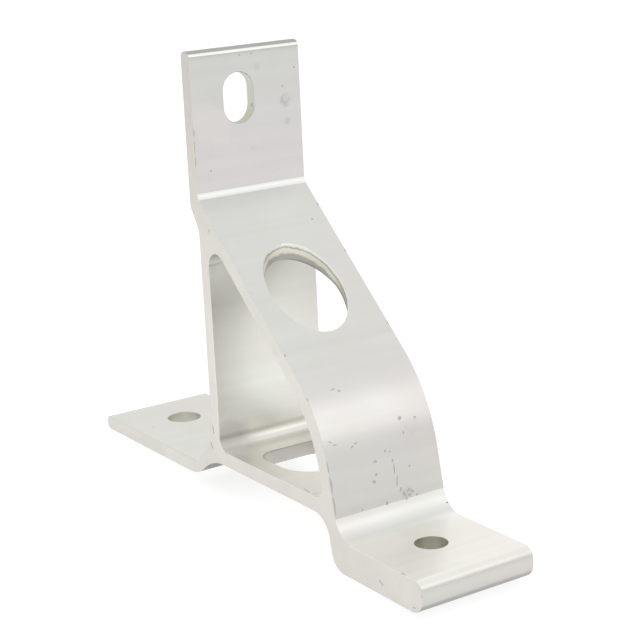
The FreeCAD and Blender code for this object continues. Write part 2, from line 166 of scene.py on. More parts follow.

# Slots of the materials on the bracket's mesh.
# The bright slot holds a painted highlight.
# The inside slot is a brighter copy of the mill finish: painted light in the opening.
MILL, INSIDE, SAWN, DRILLED, BRUISED, HIGHLIGHT_PAINT, BORED = range(7)


def fall(angle):
    return math.tan(math.radians(angle))


def section_corners():
    """Sharp corners of the section and of its opening: name, then (corner, radius)."""
    foot_top = FRONT_FOOT_THICK - FOOT_DROP
    tab_height = HIGH.z - BASE_Z
    back_reach = TAB_X - LOW.x
    lean = 1 / fall(LEG_ANGLE)
    slope = fall(SLOPE_ANGLE)
    leg_gap = WALL / math.sin(math.radians(LEG_ANGLE))
    slope_drop = WALL / math.cos(math.radians(SLOPE_ANGLE))

    def leg_front(height):
        return TOE_REACH + (foot_top - height) * lean

    def leg_rear(height):
        return leg_front(height) - leg_gap

    knee_height = (TAB_ROOT_HEIGHT - slope * leg_front(0)) / (1 - slope * lean)
    inside_height = (TAB_ROOT_HEIGHT - slope_drop - slope * leg_rear(0)) / (1 - slope * lean)
    under_head = WEB_LEVEL / fall(UNDER_RAMP_ANGLE) - UNDER_RAMP_START
    upper_head = BACK_FOOT_THICK + (UPPER_RAMP_START - WEB_SETBACK) * fall(UPPER_RAMP_ANGLE)
    joggle_head = JOGGLE_HEIGHT + (WALL - WEB_SETBACK) * fall(JOGGLE_ANGLE)
    web_front = WEB_WALL - WEB_SETBACK
    web_top = WEB_LEVEL + WEB_WALL
    outer = {
        "tab_top_front": (0, tab_height, TAB_TOP_RADIUS),
        "tab_root": (0, TAB_ROOT_HEIGHT, TAB_ROOT_RADIUS),
        "knee": (leg_front(knee_height), knee_height, KNEE_RADIUS),
        "toe": (TOE_REACH, foot_top, TOE_RADIUS),
        "front_end_top": (FRONT_REACH, foot_top, FOOT_END_RADIUS),
        "front_end_under": (FRONT_REACH, -FOOT_DROP, FOOT_END_UNDER_RADIUS),
        "heel": (leg_rear(-FOOT_DROP), -FOOT_DROP, HEEL_RADIUS),
        "leg_rear": (leg_rear(WEB_LEVEL), WEB_LEVEL, TOE_RADIUS),
        "under_ramp_head": (under_head, WEB_LEVEL, UNDER_WEB_RADIUS),
        "under_ramp_foot": (-UNDER_RAMP_START, 0, UNDER_RAMP_RADIUS),
        "back_end_under": (-back_reach, 0, BACK_END_RADIUS),
        "back_end_top": (-back_reach, BACK_FOOT_THICK, BACK_END_RADIUS),
        "upper_ramp_foot": (-UPPER_RAMP_START, BACK_FOOT_THICK, UPPER_RAMP_RADIUS),
        "upper_ramp_head": (-WEB_SETBACK, upper_head, UPPER_WEB_RADIUS),
        "joggle_foot": (-WEB_SETBACK, JOGGLE_HEIGHT, JOGGLE_LOW_RADIUS),
        "joggle_head": (-WALL, joggle_head, JOGGLE_HIGH_RADIUS),
        "tab_top_rear": (-WALL, tab_height, TAB_TOP_RADIUS),
    }
    opening = {
        "apex": (web_front, TAB_ROOT_HEIGHT - slope_drop - web_front * slope, APEX_RADIUS),
        "knee_inside": (leg_rear(inside_height), inside_height, KNEE_RADIUS - WALL),
        "opening_front": (leg_rear(web_top), web_top, CORNER_RADIUS),
        "opening_back": (web_front, web_top, CORNER_RADIUS),
    }

    def placed(corners):
        return {name: (Vector((TAB_X + x, BASE_Z + z)), radius)
                for name, (x, z, radius) in corners.items()}

    return placed(outer), placed(opening)


def rounded(corners):
    """Closed outline through (corner, radius) pairs, each corner turned by its own arc."""
    points = []
    for index, (corner, radius) in enumerate(corners):
        to_before = (corners[index - 1][0] - corner).normalized()
        to_after = (corners[(index + 1) % len(corners)][0] - corner).normalized()
        half = to_before.angle(to_after) / 2
        centre = corner + (to_before + to_after).normalized() * radius / math.sin(half)
        spoke = corner + to_before * radius / math.tan(half) - centre
        turn = math.pi - 2 * half
        side = math.copysign(1, spoke.y * to_before.x - spoke.x * to_before.y)
        steps = math.ceil(max(turn / math.radians(ARC_TURN), turn * radius / ARC_CHORD))
        for step in range(steps + 1):
            points.append(centre + Matrix.Rotation(side * turn * step / steps, 2) @ spoke)
    return points


def swollen(outline, distance):
    """The outline moved outwards by a distance, or inwards if that is negative."""
    area = sum(a.x * b.y - a.y * b.x for a, b in zip(outline, outline[1:] + outline[:1]))
    side = math.copysign(1, area)
    moved = []
    for index, point in enumerate(outline):
        along = (outline[(index + 1) % len(outline)] - outline[index - 1]).normalized()
        moved.append(point + Vector((along.y, -along.x)) * side * distance)
    return moved


def quarter_round(radius, steps=3):
    """(depth below a face, distance from a wall) down the rounded edge between the two."""
    turns = [math.radians(90 * step / steps) for step in range(steps, -1, -1)]
    return [(radius * (1 - math.sin(turn)), radius * (1 - math.cos(turn))) for turn in turns]


def circle(centre, radius, sides=HOLE_SIDES):
    turns = [2 * math.pi * side / sides for side in range(sides)]
    return [centre + Vector((math.cos(turn), math.sin(turn))) * radius for turn in turns]


def new_piece(name, mesh_data, materials):
    """Object with a bmesh's faces, in the scene."""
    mesh = bpy.data.meshes.new(name)
    bmesh.ops.recalc_face_normals(mesh_data, faces=mesh_data.faces)
    mesh_data.to_mesh(mesh)
    mesh_data.free()
    for material in materials:
        mesh.materials.append(material)
    piece = bpy.data.objects.new(name, mesh)
    bpy.context.scene.collection.objects.link(piece)
    return piece


def add_tube(mesh_data, loops, slot):
    """Quads between neighbouring loops of points; returns the first and the last ring."""
    rings = [[mesh_data.verts.new(point) for point in loop] for loop in loops]
    for low, high in zip(rings, rings[1:]):
        for index in range(len(low)):
            following = (index + 1) % len(low)
            corners = (low[index], low[following], high[following], high[index])
            mesh_data.faces.new(corners).material_index = slot
    return rings[0], rings[-1]


def paint_bend_highlights(mesh_data):
    """Some bends get a painted highlight: a brighter finish than the flat walls."""
    outer = section_corners()[0]
    for name, rise, reach in PAINTED_HIGHLIGHT_BENDS:
        middle = outer[name][0] + Vector((0, rise))
        for face in mesh_data.faces:
            centre = face.calc_center_median()
            if face.material_index == MILL and (Vector((centre.x, centre.z)) - middle).length < reach:
                face.material_index = HIGHLIGHT_PAINT


def make_section(materials):
    """The sawn length: rounded sawn edges, extruded walls and the triangular opening."""
    outer, opening = section_corners()
    outlines = [(rounded(list(outer.values())), -1, MILL),
                (rounded(list(opening.values())), 1, INSIDE)]
    near = [(-HALF_WIDTH + depth, inset) for depth, inset in quarter_round(SAWN_BREAK)]
    far = [(-y, inset) for y, inset in reversed(near)]
    mesh_data = bmesh.new()
    ends = ([], [])
    for outline, side, slot in outlines:
        loops = [[Vector((point.x, y, point.y)) for point in swollen(outline, side * inset)]
                 for y, inset in near + far]
        for end, ring in zip(ends, add_tube(mesh_data, loops, slot)):
            end.append(ring)
    for end in ends:
        corners = [vert for ring in end for vert in ring]
        for triangle in tessellate_polygon([[vert.co for vert in ring] for ring in end]):
            mesh_data.faces.new([corners[index] for index in triangle]).material_index = SAWN
    paint_bend_highlights(mesh_data)
    return new_piece("bracket", mesh_data, materials)


def make_cutter(name, outline, place, low, high, materials, slot=DRILLED):
    """Straight cutter with the outline, running past both faces that it breaks through."""
    loops = [[place(point, level) for point in outline]
             for level in (low - CUT_CLEARANCE, high + CUT_CLEARANCE)]
    mesh_data = bmesh.new()
    for ring in add_tube(mesh_data, loops, slot):
        mesh_data.faces.new(ring).material_index = slot
    return new_piece(name, mesh_data, materials)


def upright(point, level):
    """A point of a plan outline, at a height."""
    return Vector((point.x, point.y, level))


def through_tab(point, level):
    """A point of an outline on the tab's face, at a distance along X."""
    return Vector((level, point.x, point.y))


def cut(piece, *cutters):
    """Take the cutters away from the piece, for good, and stop if one leaves it empty."""
    for cutter in cutters:
        modifier = piece.modifiers.new(cutter.name, "BOOLEAN")
        modifier.operation = "DIFFERENCE"
        modifier.solver = "EXACT"
        modifier.material_mode = "INDEX"
        modifier.object = cutter
        evaluated = piece.evaluated_get(bpy.context.evaluated_depsgraph_get())
        mesh = bpy.data.meshes.new_from_object(evaluated)
        piece.modifiers.clear()
        piece.data = mesh
        if len(mesh.polygons) < 6:
            raise RuntimeError(f"nothing is left of {piece.name} after {cutter.name}")
        bpy.data.objects.remove(cutter)


def foot_hole(mount_name, materials):
    mount = MOUNTS[mount_name]
    centre, half = Vector(mount["pos_m"]), mount["dims"]["length_mm"] * MM / 2
    outline = circle(centre.xy, mount["dims"]["r_mm"] * MM)
    low, high = centre.z - half, centre.z + half
    return make_cutter(mount_name, outline, upright, low, high, materials)


def tab_slot(materials):
    mount = MOUNTS["tab_slot"]
    centre, radius = Vector(mount["pos_m"]), mount["dims"]["hole_r_mm"] * MM
    half_length = mount["dims"]["slot_length_mm"] * MM / 2
    corner = Vector((radius, half_length))
    outline = rounded([(centre.yz + Vector((side * corner.x, end * corner.y)), radius * ARC_SHARE)
                       for side, end in ((-1, -1), (1, -1), (1, 1), (-1, 1))])
    return make_cutter("tab_slot", outline, through_tab, TAB_X - WALL, TAB_X, materials)


def access_centre():
    return Vector((TAB_X + ACCESS_REACH, LOW.y + HALF_WIDTH + ACCESS_OFFSET))


def access_hole(materials):
    """The large hole, drilled straight down through the sloping leg only."""
    outline = circle(access_centre(), ACCESS_RADIUS, ACCESS_SIDES)
    low = BASE_Z + WEB_LEVEL + WEB_WALL + 2 * CUT_CLEARANCE
    high = BASE_Z + TAB_ROOT_HEIGHT
    return make_cutter("access_hole", outline, upright, low, high, materials, BORED)


def web_opening(materials):
    """The opening in the level web: straight behind, round in front."""
    centre = access_centre()
    back = TAB_X + WEB_OPENING_BACK
    outline = rounded([
        (Vector((back, centre.y + ACCESS_RADIUS)), WEB_OPENING_RADIUS),
        (Vector((back, centre.y - ACCESS_RADIUS)), WEB_OPENING_RADIUS),
        (Vector((centre.x + ACCESS_RADIUS, centre.y - ACCESS_RADIUS)), ACCESS_RADIUS * ARC_SHARE),
        (Vector((centre.x + ACCESS_RADIUS, centre.y + ACCESS_RADIUS)), ACCESS_RADIUS * ARC_SHARE),
    ])
    low = BASE_Z + WEB_LEVEL
    high = low + WEB_WALL
    return make_cutter("web_opening", outline, upright, low, high, materials)


def break_rims(piece):
    """Break the rims of all holes, each by its own width and with its own finish."""
    angle = math.radians(SLOPE_ANGLE)
    slope = Vector((math.sin(angle), 0, math.cos(angle)))
    web_top = BASE_Z + WEB_LEVEL + WEB_WALL
    breaks = [
        (lambda wall, middle: wall.dot(-slope) > 0.999, ACCESS_DEBURR, 1, BORED),
        # The large hole's lip takes the painted highlight finish.
        (lambda wall, middle: wall.dot(slope) > 0.999, ACCESS_LIP, 2, HIGHLIGHT_PAINT),
        # These two rims take the dark finish of the pits, which draws a dark line along them.
        (lambda wall, middle: wall.x < -0.999, SLOT_REAR_BREAK, 2, BRUISED),
        (lambda wall, middle: wall.z > 0.999 and abs(middle.z - web_top) < MM, RIM_BREAK, 2, BRUISED),
        # The front hole's rim takes the painted highlight finish.
        (lambda wall, middle: wall.z > 0.999 and middle.x > HIGH.x / 2, FRONT_HOLE_BREAK, 2, HIGHLIGHT_PAINT),
        (lambda wall, middle: True, RIM_BREAK, 3, -1),
    ]
    rims = [[] for _ in breaks]
    mesh_data = bmesh.new()
    mesh_data.from_mesh(piece.data)
    for edge in mesh_data.edges:
        walls = [face for face in edge.link_faces if face.material_index not in (DRILLED, BORED)]
        if len(walls) == 1 and len(edge.link_faces) == 2:
            middle = (edge.verts[0].co + edge.verts[1].co) / 2
            kind = next(index for index, rim in enumerate(breaks) if rim[0](walls[0].normal, middle))
            rims[kind].append(edge)
    for rim, (_, offset, segments, slot) in zip(rims, breaks):
        bmesh.ops.bevel(mesh_data, geom=rim, offset=offset, segments=segments, profile=0.5,
                        material=slot, affect="EDGES", clamp_overlap=False)
    trim_lip_highlight(mesh_data)
    mesh_data.to_mesh(piece.data)
    mesh_data.free()
    piece.data.update()


def trim_lip_highlight(mesh_data):
    """The large hole's lip keeps its painted highlight only on its far side."""
    for face in mesh_data.faces:
        spoke = face.calc_center_median().xy - access_centre()
        if (face.material_index == HIGHLIGHT_PAINT and spoke.length < ACCESS_RADIUS + 2 * MM
                and spoke.y < 0.0):
            face.material_index = MILL


def front_face(height):
    """Point and outward normal of the front face at a height, both in the XZ plane."""
    outer = section_corners()[0]
    if height > outer["tab_root"][0].y + TAB_ROOT_RADIUS:
        return Vector((TAB_X, height)), Vector((1, 0))
    knee, radius = outer["knee"]
    slope, leg = math.radians(SLOPE_ANGLE), math.radians(LEG_ANGLE)
    reach = radius * math.tan((leg - slope) / 2)
    upper = knee + Vector((-math.cos(slope), math.sin(slope))) * reach
    lower = knee + Vector((math.cos(leg), -math.sin(leg))) * reach
    centre = upper - Vector((math.sin(slope), math.cos(slope))) * radius
    if lower.y < height < upper.y:
        angle = math.acos((height - centre.y) / radius)
        normal = Vector((math.sin(angle), math.cos(angle)))
        return centre + normal * radius, normal
    start, angle = (upper, slope) if height >= upper.y else (lower, leg)
    point = start + Vector((-1 / math.tan(angle), 1)) * (height - start.y)
    return point, Vector((math.sin(angle), math.cos(angle)))


def dent(mesh_data, place, normal, along, half_length, half_width, turn):
    """A small uneven lens that sits in a face."""
    along = Matrix.Rotation(math.radians(turn), 3, normal) @ along
    across = normal.cross(along)
    shape = Matrix((along * half_length * DENT_SHARE, across * half_width * DENT_SHARE,
                    normal * DENT_DEPTH)).transposed().to_4x4()
    made = bmesh.ops.create_icosphere(mesh_data, subdivisions=2, radius=1.0)
    for vert in made["verts"]:
        uneven = 1 + 0.35 * noise.noise(vert.co * 1.7 + place * 700)
        vert.co = place + shape @ (vert.co * uneven)


def dents(materials):
    """One cutter with every pit and scratch."""
    mesh_data = bmesh.new()
    for across, height, half_length, half_width, turn in FRONT_DENTS:
        point, normal = front_face(height * MM)
        dent(mesh_data, Vector((point.x, across * MM, point.y)), Vector((normal.x, 0, normal.y)),
             Vector((0, 1, 0)), half_length, half_width, turn)
    for reach, across, height, half_length, half_width, turn in LEVEL_DENTS:
        dent(mesh_data, Vector((reach, across, height)) * MM, Vector((0, 0, 1)),
             Vector((1, 0, 0)), half_length, half_width, turn)
    for reach, across, height, half_length, half_width, turn in SIDE_DENTS:
        dent(mesh_data, Vector((reach, across, height)) * MM, Vector((0, -1, 0)),
             Vector((1, 0, 0)), half_length, half_width, turn)
    for face in mesh_data.faces:
        face.material_index = BRUISED
    return new_piece("dents", mesh_data, materials)


def smooth(piece):
    """Smooth shading on rounded walls, flat on the sawn faces and across sharp edges."""
    for face in piece.data.polygons:
        face.use_smooth = face.material_index != SAWN
    piece.data.set_sharp_from_angle(angle=math.radians(SHARP_ANGLE))
    piece.data.update()
    modifier = piece.modifiers.new("normals", "WEIGHTED_NORMAL")
    modifier.keep_sharp = True
    evaluated = piece.evaluated_get(bpy.context.evaluated_depsgraph_get())
    mesh = bpy.data.meshes.new_from_object(evaluated)
    piece.modifiers.clear()
    piece.data = mesh


def make_bracket(materials):
    piece = make_section(materials)
    cut(piece, tab_slot(materials), foot_hole("front_foot_hole", materials),
        foot_hole("back_foot_hole", materials), web_opening(materials), access_hole(materials))
    break_rims(piece)
    cut(piece, dents(materials))
    smooth(piece)
    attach(piece, BODY)
    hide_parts(NODE)
    return piece


class Nodes:
    """Short way to write a material's node tree."""

    def __init__(self, name):
        self.material = bpy.data.materials.new(name)
        self.material.use_nodes = True
        self.tree = self.material.node_tree
        self.shader = self.tree.nodes["Principled BSDF"]
        self.place = self.tree.nodes.new("ShaderNodeTexCoord").outputs["Object"]

    def add(self, kind, values=None, **settings):
        node = self.tree.nodes.new(kind)
        for name, value in settings.items():
            setattr(node, name, value)
        for name, value in (values or {}).items():
            self.feed(node.inputs[name], value)
        return node

    def feed(self, socket, value):
        if isinstance(value, bpy.types.NodeSocket):
            self.tree.links.new(value, socket)
        else:
            socket.default_value = value

    def noise(self, scale, size=1.0, detail=3.0, roughness=0.5, shift=(0, 0, 0)):
        """Noise stretched by a scale per axis, in turns per metre."""
        mapping = self.add("ShaderNodeMapping", {"Vector": self.place, "Scale": scale,
                                                 "Location": shift})
        return self.add("ShaderNodeTexNoise", {"Vector": mapping.outputs[0], "Scale": size,
                                               "Detail": detail, "Roughness": roughness}).outputs[0]

    def along(self, axis, stops):
        """Colour that changes along an axis: (place in millimetres, colour) pairs, in order."""
        place = self.add("ShaderNodeSeparateXYZ", {0: self.place}).outputs[axis]
        start, end = stops[0][0], stops[-1][0]
        return self.ramp(self.remap(place, start * MM, end * MM), start, end, stops)

    def ramp(self, share, start, end, stops):
        """Colour by the share of the way from the start to the end, in millimetres."""
        node = self.add("ShaderNodeValToRGB", {"Fac": share})
        points = node.color_ramp.elements
        for index, (middle, colour) in enumerate(stops):
            point = points[index] if index < 2 else points.new(1.0)
            point.position = (middle - start) / (end - start)
            point.color = (*colour, 1)
        return node.outputs["Color"]

    def height(self):
        return self.add("ShaderNodeSeparateXYZ", {0: self.place}).outputs["Z"]

    def facing(self, start, full):
        """0 where the normal's Z is at the start, 1 where it is full or beyond."""
        normal = self.add("ShaderNodeTexCoord").outputs["Normal"]
        rise = self.add("ShaderNodeSeparateXYZ", {0: normal}).outputs["Z"]
        return self.remap(rise, start, full)

    def near(self, place, radius, hollow=0.0):
        """1 within an uneven radius of a place in millimetres, 0 outside; it may be a ring."""
        away = self.add("ShaderNodeVectorMath", {0: self.place, 1: Vector(place) * MM},
                        operation="DISTANCE").outputs["Value"]
        ragged = self.noise((700 / radius, 700 / radius, 700 / radius), detail=3, roughness=0.7)
        ragged = self.remap(ragged, 0.3, 0.7, 0.1 * radius * MM, 0.9 * radius * MM)
        uneven = self.math("ADD", ragged, away)
        edge = 1.5 * radius * MM
        inside = self.remap(uneven, 0.75 * edge, edge, 1.0, 0.0)
        if hollow:
            inside = self.math("MULTIPLY", inside, self.remap(uneven, 0.7 * hollow * edge, hollow * edge))
            broken = self.noise((420, 420, 420), detail=3, shift=(2, 5, 1))
            inside = self.math("MULTIPLY", inside, self.remap(broken, 0.4, 0.6, 0.25, 1.0))
        return inside

    def math(self, operation, first, second=0.0, third=0.0):
        return self.add("ShaderNodeMath", {0: first, 1: second, 2: third},
                        operation=operation).outputs[0]

    def remap(self, value, low, high, to_low=0.0, to_high=1.0):
        return self.add("ShaderNodeMapRange", {"Value": value, "From Min": low, "From Max": high,
                                               "To Min": to_low, "To Max": to_high}).outputs[0]

    def mix(self, factor, first, second, blend="MIX"):
        node = self.add("ShaderNodeMix", data_type="RGBA", blend_type=blend)
        self.feed(node.inputs[0], factor)
        for socket, value in ((node.inputs[6], first), (node.inputs[7], second)):
            self.feed(socket, value if isinstance(value, bpy.types.NodeSocket) else (*value, 1))
        return node.outputs[2]

    def finish(self, colour, roughness, height, depth):
        self.feed(self.shader.inputs["Base Color"], colour)
        self.feed(self.shader.inputs["Roughness"], roughness)
        self.shader.inputs["Metallic"].default_value = 1.0
        bump = self.add("ShaderNodeBump", {"Height": height, "Distance": depth, "Strength": 1.0})
        self.feed(self.shader.inputs["Normal"], bump.outputs[0])
        return self.material


def mill_finish(name, stops, rough=0.0, across=None, stains_and_light_patches=()):
    """Aluminium as it leaves the die: drawn lines along Y, soft bands and faint stains, with painted
    light and shade by height, by reach on faces that look up or down, and in patches.
    """
    nodes = Nodes(name)
    lines = nodes.noise((900, 9, 900), detail=1)
    streaks = nodes.noise((240, 5, 240), detail=3, roughness=0.6)
    bands = nodes.noise((60, 1.5, 60), detail=2, shift=(3, 0, 7))
    clouds = nodes.noise((45, 45, 45), detail=5, roughness=0.6)
    tint = nodes.noise((22, 22, 22), detail=1, shift=(5, 2, 1))
    shade = nodes.mix(nodes.remap(streaks, 0.3, 0.7), (0.93, 0.93, 0.925), (1.0, 1.0, 0.995))
    shade = nodes.mix(nodes.remap(bands, 0.35, 0.65, 0, 0.6), shade, (1.0, 1.0, 1.0))
    shade = nodes.mix(nodes.remap(clouds, 0.4, 0.75, 0, 0.5), shade, (0.93, 0.93, 0.91))
    warm = nodes.mix(nodes.remap(tint, 0.4, 0.6), (0.98, 1.0, 0.98), (1.0, 0.98, 0.978))
    shade = nodes.mix(1.0, shade, warm, "MULTIPLY")
    foot = nodes.remap(nodes.height(), 0.120, 0.100)
    # Faces that look up, below the tab, take painted light by reach.
    level = nodes.math("MULTIPLY", nodes.facing(0.9, 0.99), foot)
    base = nodes.mix(level, nodes.along("Z", stops), nodes.along("X", LEVEL_PAINTED_LIGHT_REACHES))
    # Faces that look down take painted shade by reach.
    base = nodes.mix(nodes.facing(-0.3, -0.6), base, nodes.along("X", UNDER_PAINTED_SHADE_REACHES))
    shade = nodes.mix(1.0, shade, base, "MULTIPLY")
    if across:
        shade = nodes.mix(1.0, shade, nodes.along("Y", across), "MULTIPLY")
    roughness = nodes.remap(nodes.math("ADD", clouds, bands), 0.7, 1.3, 0.285 + rough, 0.36 + rough)
    for place, radius, hollow, gain, dull in stains_and_light_patches:
        mask = nodes.near(place, radius, hollow)
        shade = nodes.mix(mask, shade, nodes.mix(1.0, shade, gain, "MULTIPLY"))
        roughness = nodes.math("MULTIPLY_ADD", mask, dull, roughness)
    height = nodes.math("MULTIPLY_ADD", streaks, 0.6, lines)
    return nodes.finish(shade, roughness, height, 0.00001)


def sawn_finish():
    """Cut face: arcs left by the saw blade, a little warmer and rougher than the walls, with painted
    light and shade by height.
    """
    nodes = Nodes("sawn_finish")
    mapping = nodes.add("ShaderNodeMapping", {"Vector": nodes.place, "Location": (-0.22, 0, 0.15)})
    marks = nodes.add("ShaderNodeTexWave", {"Vector": mapping.outputs[0], "Scale": 330.0,
                                            "Distortion": 3.0, "Detail": 3.0, "Detail Scale": 0.4},
                      wave_type="RINGS", rings_direction="Y").outputs["Fac"]
    grain = nodes.noise((700, 700, 700), detail=2, roughness=0.6)
    clouds = nodes.noise((70, 70, 70), detail=4)
    shade = nodes.mix(nodes.remap(clouds, 0.35, 0.7), (0.98, 0.97, 0.94), (0.90, 0.90, 0.87))
    shade = nodes.mix(nodes.math("MULTIPLY", marks, 0.25), shade, (1.0, 1.0, 0.99))
    shade = nodes.mix(1.0, shade, nodes.along("Z", SAWN_PAINTED_LIGHT_HEIGHTS), "MULTIPLY")
    roughness = nodes.remap(grain, 0.3, 0.7, 0.40, 0.50)
    height = nodes.math("MULTIPLY_ADD", marks, 0.8, grain)
    return nodes.finish(shade, roughness, height, 0.00002)


def drilled_finish():
    """Hole walls: duller and darker, with the tool's fine turns."""
    nodes = Nodes("drilled_finish")
    turns = nodes.noise((60, 60, 1800), detail=1)
    stain = nodes.noise((200, 200, 200), detail=2)
    shade = nodes.mix(nodes.remap(stain, 0.3, 0.7), (0.92, 0.92, 0.91), (1.0, 1.0, 0.99))
    shade = nodes.mix(1.0, shade, nodes.along("Z", DRILLED_HEIGHTS), "MULTIPLY")
    roughness = nodes.remap(stain, 0.3, 0.7, 0.45, 0.55)
    return nodes.finish(shade, roughness, turns, 0.00002)


def bored_finish():
    """Wall of the large hole: a pale, torn upper band and a darker one below it."""
    nodes = Nodes("bored_finish")
    angle = math.radians(SLOPE_ANGLE)
    down = Vector((-math.sin(angle), 0, -math.cos(angle)))
    top = down.dot(Vector((TAB_X, 0, BASE_Z + TAB_ROOT_HEIGHT)))
    depth = nodes.add("ShaderNodeVectorMath", {0: nodes.place, 1: down},
                      operation="DOT_PRODUCT").outputs["Value"]
    torn = nodes.noise((230, 230, 230), detail=4, roughness=0.7)
    depth = nodes.math("MULTIPLY_ADD", torn, 1.6 * MM, nodes.math("SUBTRACT", depth, top + 0.8 * MM))
    bands = nodes.ramp(nodes.remap(depth, 0.0, WALL), 0.0, WALL / MM, BORED_DEPTHS)
    stain = nodes.noise((200, 200, 200), detail=2)
    shade = nodes.mix(nodes.remap(stain, 0.3, 0.7), (0.93, 0.93, 0.92), (1.0, 1.0, 1.0))
    shade = nodes.mix(1.0, shade, bands, "MULTIPLY")
    roughness = nodes.remap(stain, 0.3, 0.7, 0.42, 0.52)
    return nodes.finish(shade, roughness, torn, 0.00006)


def bruised_finish():
    """Pits and scratches: dull, dark metal."""
    nodes = Nodes("bruised_finish")
    grain = nodes.noise((2500, 2500, 2500), detail=2)
    shade = nodes.mix(grain, (0.48, 0.47, 0.45), (0.60, 0.59, 0.57))
    roughness = nodes.remap(grain, 0.3, 0.7, 0.5, 0.65)
    return nodes.finish(shade, roughness, grain, 0.00003)


# Colours by height or reach, in millimetres: the feet are creamier, the tab a little pinker. Most of
# these tables also hold painted light and shade, as the comments over them say.
# Mill colour by height, with painted light and shade: a painted highlight along the front foot's top edge
# and on the bend, painted shade at the bottom of the feet, on the tab and on the tab's top.
MILL_TINT_AND_LIGHT_HEIGHTS = [(0, (0.52, 0.505, 0.49)), (2.5, (0.62, 0.605, 0.585)), (7, (0.65, 0.635, 0.615)),
                (8.6, (0.71, 0.695, 0.675)), (9.3, (0.84, 0.825, 0.80)), (10.3, (0.86, 0.845, 0.82)),
                (12, (0.66, 0.645, 0.63)), (30, (0.67, 0.655, 0.645)),
                (46, (0.705, 0.70, 0.69)), (60, (0.715, 0.725, 0.71)), (98, (0.72, 0.725, 0.715)),
                (104, (0.67, 0.64, 0.65)), (122, (0.65, 0.625, 0.63)), (145, (0.625, 0.62, 0.61)),
                (147, (0.46, 0.45, 0.46)), (148, (0.42, 0.41, 0.42))]
# Faces that look up take painted light by reach: brighter foot tops and a brighter level web.
LEVEL_PAINTED_LIGHT_REACHES = [(-94, (0.765, 0.77, 0.74)), (-19, (0.775, 0.77, 0.745)), (-13, (1.0, 0.995, 0.98)),
                 (-6, (0.97, 0.965, 0.94)), (2, (0.89, 0.88, 0.86)), (45, (0.89, 0.88, 0.85)),
                 (55, (0.98, 0.97, 0.94)), (72, (0.95, 0.935, 0.905)), (94, (0.96, 0.945, 0.92))]
# Faces that look down take painted shade by reach: a dark painted shadow under the back ramp and under
# the front foot's end.
UNDER_PAINTED_SHADE_REACHES = [(-94, (0.65, 0.64, 0.62)), (-33, (0.65, 0.64, 0.62)), (-31, (0.17, 0.165, 0.155)),
                 (-15, (0.17, 0.165, 0.155)), (-12, (0.65, 0.64, 0.62)), (70, (0.65, 0.64, 0.62)),
                 (86, (0.36, 0.35, 0.34)), (94, (0.36, 0.35, 0.34))]
# Inside the opening: a brighter copy of the mill colour as painted light, a dark painted line just above
# the fillet's highlight, painted shade towards the apex, and across the width brighter on the near side.
INSIDE_PAINTED_LIGHT_HEIGHTS = [(0, (0.89, 0.885, 0.87)), (21.4, (0.90, 0.895, 0.88)), (22.4, (0.86, 0.85, 0.825)),
                  (23.4, (0.80, 0.79, 0.765)), (24.0, (0.64, 0.62, 0.57)), (24.5, (0.66, 0.64, 0.60)),
                  (25.6, (0.80, 0.79, 0.76)), (40, (0.92, 0.915, 0.90)), (60, (0.81, 0.80, 0.775)),
                  (85, (0.645, 0.635, 0.615))]
INSIDE_PAINTED_LIGHT_ACROSS = [(-20, (1.0, 0.99, 1.0)), (-5, (1.0, 1.0, 0.98)), (20, (0.85, 0.85, 0.84))]
# Colour of the painted highlight finish, by height.
PAINTED_HIGHLIGHT_HEIGHTS = [(0, (0.80, 0.80, 0.80)), (11, (0.80, 0.80, 0.80)), (14, (0.88, 0.87, 0.86)),
                  (96, (0.88, 0.88, 0.88)), (148, (0.93, 0.93, 0.91))]
# Sawn faces by height: painted light and shade, lighter at mid height and darker towards the tab's top.
SAWN_PAINTED_LIGHT_HEIGHTS = [(0, (0.715, 0.70, 0.675)), (50, (0.745, 0.735, 0.71)), (90, (0.71, 0.705, 0.68)),
                (115, (0.65, 0.64, 0.61)), (148, (0.625, 0.62, 0.595))]
DRILLED_HEIGHTS = [(0, (0.66, 0.65, 0.57)), (13, (0.64, 0.63, 0.56)), (15, (0.62, 0.605, 0.565)),
                   (60, (0.66, 0.65, 0.61)), (120, (0.62, 0.63, 0.56)), (148, (0.62, 0.63, 0.56))]
# The same by depth below the sloping leg's face.
BORED_DEPTHS = [(0.0, (0.80, 0.79, 0.74)), (0.55, (0.78, 0.77, 0.70)), (0.65, (0.47, 0.46, 0.41)),
                (0.9, (0.47, 0.46, 0.41)), (1.1, (0.76, 0.755, 0.68)), (2.0, (0.72, 0.72, 0.64)),
                (2.5, (0.42, 0.42, 0.38)), (4.9, (0.50, 0.495, 0.45))]
# Stains and painted light patches: middle and radius in millimetres, share that is left clear, gain,
# added roughness. A gain above 1 is painted light; the darker ones are stains.
MILL_STAINS_AND_LIGHT_PATCHES = [
    ((-17.5, 14.4, 129.3), 3.4, 0.72, (0.80, 0.79, 0.80), 0.08),
    ((-17.5, 4.4, 140.6), 1.4, 0.0, (0.93, 0.93, 0.93), 0.05),
    ((-17.5, 14.5, 122.3), 1.4, 0.0, (0.90, 0.90, 0.91), 0.05),
    ((-17.5, 1.6, 115.3), 1.3, 0.0, (0.95, 0.94, 0.95), 0.05),
    ((-17.5, -14.0, 126.0), 8.0, 0.0, (1.06, 1.03, 1.03), 0.0),
    ((60.0, -16.0, 10.0), 17.0, 0.0, (1.04, 1.04, 1.05), 0.05),
    ((48.0, 12.0, 37.0), 4.0, 0.3, (0.95, 0.94, 0.96), 0.05),
    ((51.5, 6.5, 17.8), 3.0, 0.0, (0.94, 0.93, 0.94), 0.03),
]
